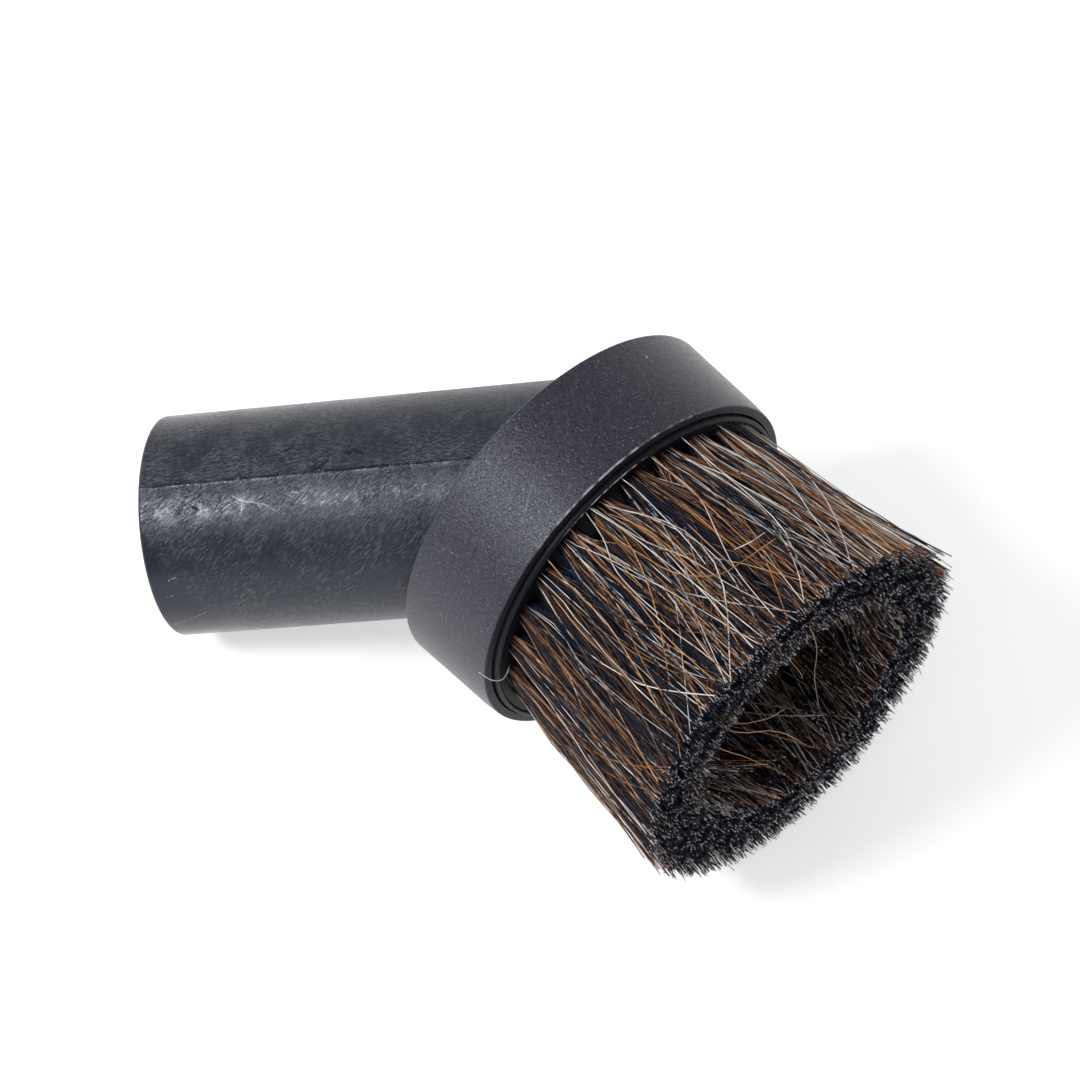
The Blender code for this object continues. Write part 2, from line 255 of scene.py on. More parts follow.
# A hair's patch of the texture map, in shares of the patch: a strip for its sides, a triangle for each end
STRIP_LEFT, STRIP_WIDTH = 0.06, 0.88
STRIP_BOTTOM, STRIP_HEIGHT = 0.05, 0.74
END_LEFTS = (0.06, 0.56)
END_WIDTH = 0.36
END_BOTTOM, END_TOP = 0.84, 0.95

# Single hairs that stand out from the rest, listed one by one: tone, then radius (mm), angle (degrees) and
# height (mm) of the points that each passes. Strays lie on the outside, and bridges cross the opening.
STRAY_POINTS = 20
STRAY_RADIUS = 0.000100
BRIDGE_RADIUS = 0.000065
STRAYS = (
    (0.99, ((29.0, 256, -1), (29.8, 256, 4), (30.5, 257, 10), (31.3, 258, 16), (31.9, 260, 22))),
    (0.83, ((28.6, 272, 2), (30.6, 270, 12), (32.1, 267, 20), (32.7, 260, 25), (32.6, 250, 26),
            (32.4, 240, 26))),
    (1.00, ((29.2, 270, -1), (30.2, 268, 7), (31.2, 267, 16), (32.0, 266, 25), (33.3, 265, 38))),
    (0.84, ((29.2, 278, -1), (30.3, 280, 7), (31.3, 280, 16), (32.1, 282, 24), (33.2, 282, 37))),
    (0.96, ((29.0, 271, -1), (30.2, 274, 6), (31.0, 278, 11), (31.5, 279, 16), (31.9, 279, 22))),
    (0.83, ((29.0, 243, -1), (30.4, 245, 8), (31.5, 246, 15), (32.1, 247, 22), (33.0, 248, 33))),
    (1.00, ((29.0, 230, -1), (30.2, 232, 6), (31.1, 233, 12), (31.7, 232, 17), (32.0, 230, 21))),
    (0.92, ((29.2, 244, 0), (31.0, 246, 13), (31.7, 250, 18), (32.3, 255, 25), (33.3, 259, 37))),
    (0.97, ((31.6, 251, 23), (32.4, 247, 24), (32.2, 241, 24))),
    (0.87, ((29.2, 290, -1), (30.5, 291, 8), (31.3, 291, 15), (32.0, 294, 23), (33.0, 299, 33))),
    (0.92, ((29.0, 269, 0), (30.9, 266, 12), (31.8, 262, 19), (32.3, 260, 27), (33.2, 256, 37))),
    (0.95, ((29.2, 198, -1), (30.9, 203, 13), (31.9, 212, 22), (32.7, 223, 31), (33.3, 231, 37))),
    (0.95, ((29.2, 213, -1), (30.7, 215, 10), (31.4, 217, 16), (32.1, 224, 25), (32.8, 229, 32))),
    (0.88, ((29.2, 195, -1), (30.9, 199, 12), (31.9, 206, 22), (32.8, 212, 32), (33.4, 214, 38))),
    (0.95, ((28.0, 337, 0.5), (29.4, 337, 1.4), (30.8, 337, 1.7), (32.2, 336, 1.0), (33.3, 334, -1))),
    (0.20, ((29.5, 205, -1), (31.6, 206, 16), (33.6, 206, 30), (34.9, 202, 39))),
    (0.25, ((29.5, 208, -1), (32.0, 210, 18), (34.8, 209, 33), (34.9, 192, 41))),
    (0.97, ((29.5, 182, -1), (31.3, 181, 18), (32.9, 184, 34), (33.4, 187, 41))),
    (0.30, ((29.5, 337, -1), (31.5, 338, 16), (34.3, 339, 33), (34.6, 345, 39))),
)
BRIDGES = (
    (0.89, ((27.0, 299, 2), (23.5, 299, 22), (20.5, 298, 37), (11.0, 296, 38), (1.6, 294, 36))),
    (0.86, ((26.5, 312, 2), (23.0, 312, 20), (20.4, 312, 36), (11.0, 348, 37), (18.0, 423, 35))),
    (0.88, ((26.5, 301, 2), (22.5, 302, 22), (19.7, 303, 36), (4.5, 352, 37), (20.0, 446, 35))),
    (0.87, ((26.5, 257, 2), (23.0, 258, 22), (20.0, 258, 37), (13.0, 251, 38), (6.6, 230, 36))),
    (0.92, ((27.0, 243, 2), (24.5, 243, 22), (21.8, 243, 37), (7.0, 215, 37), (15.0, 105, 34))),
)


# Where the brush lies


def box_centre(node):
    """The middle of a node's box at rest."""
    low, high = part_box(node)
    return (Vector(low) + Vector(high)) / 2


def numbered_nodes(stem):
    """The names of the nodes stem_01, stem_02 and so on."""
    return sorted(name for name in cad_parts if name.startswith(stem + "_"))


def brush_matrix():
    """From the brush's own frame to the row frame, worked out from the circle that the anchors stand on."""
    centres = [box_centre(name) for name in numbered_nodes("anchor")]
    middle = sum(centres, Vector()) / len(centres)
    axis = Vector()
    for here, there in zip(centres, centres[1:] + centres[:1]):
        axis += (here - middle).cross(there - middle)
    axis.normalize()
    outward = Quaternion(axis, -FIRST_TUFT_ANGLE) @ (centres[0] - middle).normalized()
    outward = (outward - axis * outward.dot(axis)).normalized()
    matrix = Matrix((outward, axis.cross(outward), axis)).transposed().to_4x4()
    matrix.translation = middle - axis * ANCHOR_Z
    return matrix


def tube_matrix():
    """From the tube's frame, +Z out along it and +X on the outside of its bend, to the row frame."""
    turn = Matrix.Rotation(math.pi - TUBE_ANGLE, 4, "Y")
    return BRUSH @ Matrix.Translation(TUBE_START) @ turn @ Matrix.Rotation(math.pi, 4, "Z")


BRUSH = brush_matrix()
TUBE = tube_matrix()
TUFT_CIRCLE_R = (box_centre("anchor_01") - BRUSH @ Vector((0.0, 0.0, ANCHOR_Z))).length
TUFTS = numbered_nodes("tuft")
TUFT_SECTOR = math.tau / len(TUFTS)
TIP_MID_R = TIP_OUTER_R - TIP_BAND / 2
HAIR_STATIONS = np.append(np.linspace(0.0, CUT_END, HAIR_POINTS - 1), 1.0)


# Camera, light and floor


def make_camera():
    """The photograph's viewing angle."""
    data = bpy.data.cameras.new("camera")
    data.sensor_width = SENSOR_WIDTH
    data.lens = SENSOR_WIDTH * FOCAL_SHARE
    camera = bpy.data.objects.new("camera", data)
    flat = math.cos(VIEW_ELEVATION)
    back = Vector((math.sin(VIEW_AZIMUTH) * flat, -math.cos(VIEW_AZIMUTH) * flat, math.sin(VIEW_ELEVATION)))
    camera.location = VIEW_TARGET + back * VIEW_DISTANCE
    camera.rotation_mode = "QUATERNION"
    upright = (-back).to_track_quat("-Z", "Y")
    camera.rotation_quaternion = Quaternion(-back, -VIEW_ROLL) @ upright
    bpy.context.scene.collection.objects.link(camera)
    bpy.context.scene.camera = camera


def make_key_light():
    """One soft light from above."""
    data = bpy.data.lights.new("key", "AREA")
    data.shape = "SQUARE"
    data.size = KEY_SIZE
    data.energy = KEY_WATTS
    key = bpy.data.objects.new("key", data)
    direction = KEY_DIRECTION.normalized()
    key.location = box_centre("housing") + direction * KEY_DISTANCE
    key.rotation_mode = "QUATERNION"
    key.rotation_quaternion = (-direction).to_track_quat("-Z", "Y")
    bpy.context.scene.collection.objects.link(key)


def make_room():
    """A room round the table, its walls pale and its ceiling a little darker."""
    world = bpy.data.worlds.new("studio")
    world.use_nodes = True
    bpy.context.scene.world = world
    tree = world.node_tree
    background = tree.nodes["Background"]
    background.inputs["Color"].default_value = (1.0, 1.0, 1.0, 1.0)
    direction = tree.nodes.new("ShaderNodeTexCoord")
    parts = tree.nodes.new("ShaderNodeSeparateXYZ")
    strength = tree.nodes.new("ShaderNodeMapRange")
    strength.interpolation_type = "SMOOTHSTEP"
    strength.inputs["From Min"].default_value = WALL_TOP
    strength.inputs["From Max"].default_value = CEILING_EDGE
    strength.inputs["To Min"].default_value = WALL_STRENGTH
    strength.inputs["To Max"].default_value = CEILING_STRENGTH
    tree.links.new(direction.outputs["Generated"], parts.inputs["Vector"])
    tree.links.new(parts.outputs["Z"], strength.inputs["Value"])
    tree.links.new(strength.outputs["Result"], background.inputs["Strength"])


def seen_ray(tree):
    """1 for rays that see the studio straight, in a mirror or through glass, otherwise 0."""
    path = tree.nodes.new("ShaderNodeLightPath")
    total = path.outputs["Is Camera Ray"]
    for other in ("Is Glossy Ray", "Is Transmission Ray"):
        add = tree.nodes.new("ShaderNodeMath")
        add.operation = "MAXIMUM"
        tree.links.new(total, add.inputs[0])
        tree.links.new(path.outputs[other], add.inputs[1])
        total = add.outputs["Value"]
    return total


def floor_material():
    """Pale and dull, a little lifted towards white where it is seen."""
    material = bpy.data.materials.new("pale_floor")
    material.use_nodes = True
    tree = material.node_tree
    tree.nodes.clear()
    diffuse = tree.nodes.new("ShaderNodeBsdfDiffuse")
    diffuse.inputs["Color"].default_value = (FLOOR_ALBEDO, FLOOR_ALBEDO, FLOOR_ALBEDO, 1.0)
    glow = tree.nodes.new("ShaderNodeEmission")
    lift = tree.nodes.new("ShaderNodeMath")
    lift.operation = "MULTIPLY"
    lift.inputs[1].default_value = FLOOR_LIFT
    total = tree.nodes.new("ShaderNodeAddShader")
    output = tree.nodes.new("ShaderNodeOutputMaterial")
    tree.links.new(seen_ray(tree), lift.inputs[0])
    tree.links.new(lift.outputs["Value"], glow.inputs["Strength"])
    tree.links.new(diffuse.outputs["BSDF"], total.inputs[0])
    tree.links.new(glow.outputs["Emission"], total.inputs[1])
    tree.links.new(total.outputs["Shader"], output.inputs["Surface"])
    return material


def make_floor():
    """A plain table that runs out of sight."""
    corners = [(math.cos(a) * FLOOR_RADIUS, math.sin(a) * FLOOR_RADIUS, 0.0)
               for a in (math.tau * i / FLOOR_SIDES for i in range(FLOOR_SIDES))]
    mesh = bpy.data.meshes.new("floor")
    mesh.from_pydata(corners, [], [range(len(corners))])
    floor = bpy.data.objects.new("floor", mesh)
    bpy.context.scene.collection.objects.link(floor)
    mesh.materials.append(floor_material())


# Small tools for materials


class Nodes:
    """A material's node tree, with a short call for each kind of node that is used here."""

    def __init__(self, name):
        self.material = bpy.data.materials.new(name)
        self.material.use_nodes = True
        self.tree = self.material.node_tree
        self.shader = self.tree.nodes["Principled BSDF"]

    def feed(self, socket, value):
        """Links a socket to another node's output, or sets its value."""
        if isinstance(value, bpy.types.NodeSocket):
            self.tree.links.new(value, socket)
        else:
            socket.default_value = value

    def set(self, name, value):
        """Feeds one of the shader's own sockets."""
        self.feed(self.shader.inputs[name], value)

    def math(self, operation, a, b=0.0, clamp=False):
        """One sum on numbers."""
        node = self.tree.nodes.new("ShaderNodeMath")
        node.operation = operation
        node.use_clamp = clamp
        for socket, value in zip(node.inputs, (a, b)):
            self.feed(socket, value)
        return node.outputs["Value"]

    def vector(self, operation, a, b=(0.0, 0.0, 0.0)):
        """One sum on vectors, whose result is a vector or a number."""
        node = self.tree.nodes.new("ShaderNodeVectorMath")
        node.operation = operation
        self.feed(node.inputs[0], a)
        self.feed(node.inputs[1], b)
        return node.outputs["Value" if operation in ("LENGTH", "DOT_PRODUCT") else "Vector"]

    def split(self, vector):
        """The three parts of a vector."""
        node = self.tree.nodes.new("ShaderNodeSeparateXYZ")
        self.feed(node.inputs["Vector"], vector)
        return node.outputs["X"], node.outputs["Y"], node.outputs["Z"]

    def join(self, x, y, z):
        """A vector from its three parts."""
        node = self.tree.nodes.new("ShaderNodeCombineXYZ")
        for socket, value in zip(node.inputs, (x, y, z)):
            self.feed(socket, value)
        return node.outputs["Vector"]

    def place(self, matrix):
        """The surface point in the frame of a matrix."""
        coords = self.tree.nodes.new("ShaderNodeTexCoord")
        node = self.tree.nodes.new("ShaderNodeMapping")
        node.vector_type = "TEXTURE"
        node.inputs["Location"].default_value = matrix.translation
        node.inputs["Rotation"].default_value = matrix.to_euler("XYZ")
        self.feed(node.inputs["Vector"], coords.outputs["Object"])
        return node.outputs["Vector"]

    def stretch(self, vector, scale):
        """A vector with each of its parts scaled."""
        return self.vector("MULTIPLY", vector, scale)

    def noise(self, vector, size, detail=2.0, roughness=0.5, distortion=0.0):
        """Noise from 0 to 1 with lumps of about a size in metres."""
        node = self.tree.nodes.new("ShaderNodeTexNoise")
        self.feed(node.inputs["Vector"], vector)
        node.inputs["Scale"].default_value = 1.0 / size
        node.inputs["Detail"].default_value = detail
        node.inputs["Roughness"].default_value = roughness
        node.inputs["Distortion"].default_value = distortion
        return node.outputs["Fac"]

    def remap(self, value, low, high, to_low=0.0, to_high=1.0, kind="SMOOTHSTEP"):
        """A number that goes from to_low to to_high while the value goes from low to high."""
        node = self.tree.nodes.new("ShaderNodeMapRange")
        node.interpolation_type = kind
        self.feed(node.inputs["Value"], value)
        for name, number in zip(("From Min", "From Max", "To Min", "To Max"), (low, high, to_low, to_high)):
            self.feed(node.inputs[name], number)
        return node.outputs["Result"]

    def blend(self, share, a, b):
        """A number between a and b."""
        rest = self.math("SUBTRACT", 1.0, share)
        return self.math("ADD", self.math("MULTIPLY", b, share), self.math("MULTIPLY", a, rest))

    def mix(self, share, a, b):
        """A colour between a and b."""
        node = self.tree.nodes.new("ShaderNodeMix")
        node.data_type = "RGBA"
        self.feed(node.inputs["Factor"], share)
        self.feed(node.inputs["A"], a)
        self.feed(node.inputs["B"], b)
        return node.outputs["Result"]

    def ramp(self, value, stops):
        """A colour read from stops of position and colour."""
        node = self.tree.nodes.new("ShaderNodeValToRGB")
        elements = node.color_ramp.elements
        while len(elements) < len(stops):
            elements.new(0.5)
        for element, (position, colour) in zip(elements, stops):
            element.position = position
            element.color = (*colour, 1.0)
        self.feed(node.inputs["Fac"], value)
        return node.outputs["Color"]

    def attribute(self, name):
        """A number that the mesh stores at each point."""
        node = self.tree.nodes.new("ShaderNodeAttribute")
        node.attribute_name = name
        return node.outputs["Fac"]

    def bump(self, height, depth):
        """Relief: height from 0 to 1 stands for depth in metres."""
        node = self.tree.nodes.new("ShaderNodeBump")
        node.inputs["Distance"].default_value = depth
        self.feed(node.inputs["Height"], height)
        self.set("Normal", node.outputs["Normal"])


def grey(value, tint):
    """A tinted grey, as an RGBA colour."""
    return (value * tint[0], value * tint[1], value * tint[2], 1.0)


def line_mark(n, surface, start, end, half_width, jitter):
    """1 on a thin line between two points of a surface's own coordinates, 0 beside it."""
    run = Vector((*end, 0.0)) - Vector((*start, 0.0))
    here = n.vector("SUBTRACT", surface, (*start, 0.0))
    share = n.math("DIVIDE", n.vector("DOT_PRODUCT", here, run), run.length_squared, clamp=True)
    nearest = n.vector("MULTIPLY", n.join(share, share, share), run)
    distance = n.vector("LENGTH", n.vector("SUBTRACT", here, nearest))
    return n.remap(n.math("ADD", distance, jitter), half_width, half_width * 0.3)


def all_marks(n, surface, marks, jitter):
    """The strongest of several line marks at each point."""
    total = 0.0
    for start, end, half_width in marks:
        total = n.math("MAXIMUM", total, line_mark(n, surface, start, end, half_width, jitter))
    return total


# Plastic


def ragged_edge(n, grain):
    """A small shift in metres that follows the grain, for marks whose edges are ragged."""
    return n.math("MULTIPLY", n.math("SUBTRACT", grain, 0.5), RAGGED_BY)


def pale_wear_and_highlight(n, edge, round_it, top, spread, patches):
    """How pale an edge is made, near its top only and in patches: wear, and a painted highlight where the
    light falls on the top.
    """
    from_top = n.math("ABSOLUTE", n.math("SUBTRACT", round_it, top))
    return n.math("MULTIPLY", n.math("MULTIPLY", edge, n.remap(from_top, *spread)), patches)


def tube_streaks(n, tube, turn, size):
    """Noise in short streaks that run along the tube and turn round it, radians per metre."""
    along = n.split(tube)[2]
    twist = n.tree.nodes.new("ShaderNodeVectorRotate")
    twist.rotation_type = "Z_AXIS"
    n.feed(twist.inputs["Vector"], tube)
    n.feed(twist.inputs["Angle"], n.math("MULTIPLY", along, turn))
    helix = n.stretch(twist.outputs["Vector"], (1.0, 1.0, STREAK_SQUEEZE))
    return n.noise(helix, size, detail=2.0, roughness=0.6, distortion=0.5)


def tube_skin(n, tube, along, below_seam):
    """How rough the tube's skin still is: less in worn patches, and least where its mouth is polished."""
    patches = n.noise(tube, WORN_PATCH, detail=3.0, roughness=0.6)
    worn = n.remap(patches, 0.38, 0.60, 0.35, 1.0)
    slant = n.math("ADD", along, n.math("MULTIPLY", below_seam, POLISH_SLANT))
    slant = n.math("ADD", slant, n.math("MULTIPLY", patches, POLISH_WANDER))
    unpolished = n.remap(slant, *POLISH_FADE, 1.0, 0.10)
    return n.math("MULTIPLY", worn, unpolished)


def seam_line(n, tube, below_seam, ragged):
    """The dark line along the mould seam, with gaps in it."""
    beside = n.math("ADD", n.math("ABSOLUTE", n.math("ADD", below_seam, SEAM_LINE)), ragged)
    gaps = n.noise(n.stretch(tube, (0.3, 0.3, 1.0)), SEAM_GAP, detail=3.0, roughness=0.6)
    return n.math("MULTIPLY", n.remap(beside, *SEAM_FADE), n.remap(gaps, 0.47, 0.57))


def tube_finish(n, tube):
    """Colour, roughness and relief of the tube, streaked where it is worn, scratched, and nicked along its
    seam.
    """
    x, y, along = n.split(tube)
    below_seam = n.math("MULTIPLY", n.math("ARCTAN2", x, y), TUBE_R)
    surface = n.join(along, below_seam, 0.0)
    speckle = n.noise(tube, SPECKLE, detail=2.0, roughness=0.65, distortion=0.8)
    ragged = ragged_edge(n, speckle)

    lower = n.remap(below_seam, -SEAM_BLUR, SEAM_BLUR)
    upper_streaks = tube_streaks(n, tube, UPPER_TURN, UPPER_STREAK)
    lower_streaks = tube_streaks(n, tube, LOWER_TURN, LOWER_STREAK)
    streaks = n.blend(lower, upper_streaks, lower_streaks)
    skin = tube_skin(n, tube, along, below_seam)
    strokes = n.math("MULTIPLY", n.remap(streaks, 0.54, 0.62), skin)
    scratches = all_marks(n, surface, TUBE_SCRATCHES, ragged)
    nicks = all_marks(n, surface, TUBE_NICKS, ragged)
    nicks = n.math("MAXIMUM", nicks, seam_line(n, tube, below_seam, ragged))

    plain = n.mix(lower, grey(0.0125, (0.70, 0.92, 1.60)), grey(0.0080, (0.50, 0.85, 1.95)))
    colour = n.mix(strokes, plain, grey(0.072, (0.88, 1.0, 1.18)))
    colour = n.mix(nicks, colour, grey(0.001, (0.72, 0.98, 1.55)))
    colour = n.mix(scratches, colour, grey(0.24, (1.0, 1.0, 1.03)))
    gloss = n.math("ADD", n.remap(streaks, 0.40, 0.62, 0.17, 0.27), n.remap(along, *SATIN_FADE, 0.0, 0.14))
    height = n.math("MULTIPLY", n.math("ADD", n.remap(streaks, 0.40, 0.60), speckle), skin)
    height = n.math("SUBTRACT", n.math("MULTIPLY", height, 1.2), n.math("MULTIPLY", nicks, 5.0))
    return colour, n.math("ADD", gloss, n.math("MULTIPLY", nicks, 0.45)), height


def collar_finish(n, brush):
    """Colour, roughness and relief of the collar: grain with pale specks, a rim pale in patches on its upper
    side with wear and a painted highlight, and a land darkened with painted shade.
    """
    x, y, z = n.split(brush)
    radius = n.vector("LENGTH", n.join(x, y, 0.0))
    round_it = n.math("ARCTAN2", y, x)
    surface = n.join(z, n.math("MULTIPLY", round_it, COLLAR_R), 0.0)
    grain = n.noise(brush, COLLAR_GRAIN, detail=2.0, roughness=0.65, distortion=0.6)
    clouds = n.noise(brush, COLLAR_CLOUD, detail=2.0)
    ragged = ragged_edge(n, grain)
    specks = n.remap(n.noise(n.stretch(brush, (1.0, 1.0, 0.55)), COLLAR_SPECK, detail=1.0), 0.63, 0.74)
    specks = n.math("MULTIPLY", specks, n.remap(clouds, 0.35, 0.60, 0.30, 0.9))
    scratches = n.math("MULTIPLY", all_marks(n, surface, COLLAR_SCRATCHES, ragged), 0.45)
    chips = all_marks(n, surface, COLLAR_CHIPS, ragged)

    tint = (0.98, 0.95, 1.55)
    colour = n.mix(n.remap(grain, 0.38, 0.64), grey(0.009, tint), grey(0.031, tint))
    colour = n.mix(n.math("MAXIMUM", specks, scratches), colour, grey(0.13, (1.0, 1.0, 1.1)))

    # The edge of the rim is pale in patches on the side that faces up: wear, with a painted highlight there.
    # The land inside it is darkened with painted shade.
    land = n.math("MULTIPLY", n.remap(z, *LAND_HEIGHT_FADE), n.remap(radius, *LAND_FADE))
    colour = n.mix(land, colour, grey(0.004, (0.9, 1.0, 1.6)))
    from_edge = n.join(n.math("SUBTRACT", radius, RIM_EDGE_R), n.math("SUBTRACT", z, RIM_EDGE_Z), 0.0)
    at_edge = n.remap(n.vector("LENGTH", from_edge), *RIM_WEAR_AND_HIGHLIGHT_FADE)
    patches = n.remap(n.noise(brush, RIM_WEAR_AND_HIGHLIGHT_PATCH, detail=3.0, roughness=0.65), 0.40, 0.62, 0.08, 1.0)
    wear_and_highlight = pale_wear_and_highlight(n, at_edge, round_it, RIM_WEAR_AND_HIGHLIGHT_AT, RIM_WEAR_AND_HIGHLIGHT_SPREAD, patches)
    colour = n.mix(n.math("MAXIMUM", wear_and_highlight, chips), colour, grey(0.40, (1.0, 1.0, 1.06)))
    gloss = n.math("ADD", n.remap(grain, 0.3, 0.7, 0.25, 0.35, "LINEAR"), n.math("MULTIPLY", land, 0.25))
    return colour, gloss, n.math("MULTIPLY", n.math("ADD", grain, n.math("MULTIPLY", specks, 0.4)), 3.4)


def housing_material():
    """Black plastic with one finish on the tube and another on the collar."""
    n = Nodes("housing_plastic")
    tube = n.place(TUBE)
    brush = n.place(BRUSH)
    on_tube = n.remap(n.split(brush)[2], *TUBE_FADE)
    tube_colour, tube_gloss, tube_height = tube_finish(n, tube)
    collar_colour, collar_gloss, collar_height = collar_finish(n, brush)
    n.set("Base Color", n.mix(on_tube, collar_colour, tube_colour))
    n.set("Roughness", n.blend(on_tube, collar_gloss, tube_gloss))
    n.bump(n.blend(on_tube, collar_height, tube_height), PLASTIC_RELIEF)
    n.set("Specular Tint", (0.87, 0.90, 1.0, 1.0))
    return n.material


def ring_material():
    """Near-black plastic with dust, its raised crest a little paler all round and pale in patches on the
    side that faces up: wear, with a painted highlight on that side.
    """
    n = Nodes("ring_plastic")
    brush = n.place(BRUSH)
    x, y, z = n.split(brush)
    radius = n.vector("LENGTH", n.join(x, y, 0.0))
    grain = n.noise(brush, RING_GRAIN, detail=2.0)
    dust = n.remap(n.noise(brush, RING_DUST, detail=4.0, roughness=0.7), 0.58, 0.70)
    crest = n.remap(n.math("ABSOLUTE", n.math("SUBTRACT", radius, CREST_R)), *CREST_FADE)
    patches = n.remap(n.noise(brush, CREST_WEAR_AND_HIGHLIGHT_PATCH, detail=3.0, roughness=0.65), 0.44, 0.58)
    # Pale patches on the crest's upper side: wear, with a painted highlight there
    wear_and_highlight = pale_wear_and_highlight(n, crest, n.math("ARCTAN2", y, x), CREST_WEAR_AND_HIGHLIGHT_AT, CREST_WEAR_AND_HIGHLIGHT_SPREAD, patches)
    colour = n.mix(dust, grey(0.0045, (0.8, 0.95, 1.8)), grey(0.016, (0.9, 0.97, 1.2)))
    colour = n.mix(n.math("MULTIPLY", crest, 0.5), colour, grey(0.05, (0.9, 0.95, 1.3)))
    n.set("Base Color", n.mix(wear_and_highlight, colour, grey(0.60, (1.0, 1.0, 1.04))))
    n.set("Roughness", n.remap(grain, 0.3, 0.7, 0.42, 0.56, "LINEAR"))
    n.set("Specular IOR Level", 0.2)
    n.bump(grain, RING_RELIEF)
    return n.material


def wire_material():
    """Drawn steel wire."""
    n = Nodes("anchor_wire")
    lines = n.noise(n.stretch(n.place(BRUSH), (1.0, 1.0, 0.05)), WIRE_LINE, detail=2.0)
    n.set("Base Color", n.mix(lines, (0.50, 0.48, 0.44, 1.0), (0.66, 0.64, 0.60, 1.0)))
    n.set("Metallic", 1.0)
    n.set("Roughness", 0.36)
    return n.material


def hair_material():
    """Horsehair: mostly black, with brown, tan and silver hairs among them."""
    n = Nodes("horsehair")
    tone = n.attribute("tone")
    along = n.attribute("along")
    each = n.math("MULTIPLY", tone, HAIRS_APART)
    flicker = n.noise(n.join(n.math("MULTIPLY", along, FLICKERS), each, 0.0), 1.0, 1.0)
    colour = n.ramp(tone, [
        (0.00, (0.010, 0.013, 0.028)),
        (0.65, (0.014, 0.017, 0.034)),
        (0.70, (0.050, 0.027, 0.026)),
        (0.77, (0.230, 0.100, 0.048)),
        (0.84, (0.620, 0.290, 0.110)),
        (0.90, (0.880, 0.570, 0.340)),
        (0.94, (0.800, 0.770, 0.770)),
        (1.00, (1.000, 0.980, 0.960)),
    ])
    # Painted shade: stretches of each hair darkened, for the dull parts between its glints
    colour = n.mix(n.remap(flicker, 0.3, 0.7, 0.58, 1.0), (0.008, 0.011, 0.022, 1.0), colour)
    cut = n.remap(along, CUT_END - CUT_BLUR, CUT_END + CUT_BLUR)
    shade = n.remap(n.noise(n.join(each, 0.0, 0.0), 1.0, 0.0), 0.48, 0.61)
    colour = n.mix(cut, colour, n.mix(shade, (0.008, 0.009, 0.016, 1.0), (0.700, 0.710, 0.800, 1.0)))
    n.set("Base Color", colour)
    n.set("Roughness", 0.42)
    n.set("Specular IOR Level", 0.22)
    return n.material


# Hair


def disc_to_square(x, y):
    """Spreads points of the unit disc evenly over the square from -1 to 1."""
    radius = np.hypot(x, y)
    wide = np.abs(x) >= np.abs(y)
    a = np.where(wide, np.sign(x) * radius, 0.0)
    b = np.where(wide, 0.0, np.sign(y) * radius)
    with np.errstate(divide="ignore", invalid="ignore"):
        b = np.where(wide, a * 4 / math.pi * np.arctan(y / x), b)
        a = np.where(wide, a, b * 4 / math.pi * np.arctan(x / y))
    return a, b


def nearness(angle, middle, spread):
    """1 at the middle angle, falling smoothly to 0 at a spread to either side."""
    away = abs((angle - middle + math.pi) % math.tau - math.pi)
    return math.cos(away / spread * math.pi / 2) ** 2 if away < spread else 0.0


def cell(places, cells):
    """Which of some equal cells across the square each place lies in."""
    return np.clip(((places + 1) / 2 * cells).astype(int), 0, cells - 1)


def lay_out_tuft():
    """Where a tuft's hairs stand in its hole and at its tips, and the wisp and band of each."""
    order = np.arange(HAIRS_PER_TUFT) + 0.5
    reach = np.sqrt(order / HAIRS_PER_TUFT)
    disc_x = reach * np.cos(order * GOLDEN_ANGLE)
    disc_y = reach * np.sin(order * GOLDEN_ANGLE)
    square_x, square_y = disc_to_square(disc_x, disc_y)
    wisp = cell(square_x, WISPS_ACROSS) * WISPS_ACROSS + cell(square_y, WISPS_ACROSS)
    return SimpleNamespace(
        disc_x=disc_x,
        disc_y=disc_y,
        square_x=square_x,
        square_y=square_y,
        wisp=wisp,
        centre_x=np.array([square_x[wisp == number].mean() for number in range(WISPS)])[wisp],
        centre_y=np.array([square_y[wisp == number].mean() for number in range(WISPS)])[wisp],
        band=cell(square_y, BANDS_ACROSS),
        exposed=np.abs(square_x) > OUTER_LAYER,
    )


TUFT = lay_out_tuft()


def some(rng, share):
    """A mask that picks a share of a tuft's hairs."""
    return rng.random(HAIRS_PER_TUFT) < share


def by_wisp(rng, spread):
    """A random amount for each wisp, the same for all its hairs."""
    return rng.normal(0.0, spread, WISPS)[TUFT.wisp]


def by_hair(rng, spread):
    """A random amount for each hair."""
    return rng.normal(0.0, spread, HAIRS_PER_TUFT)


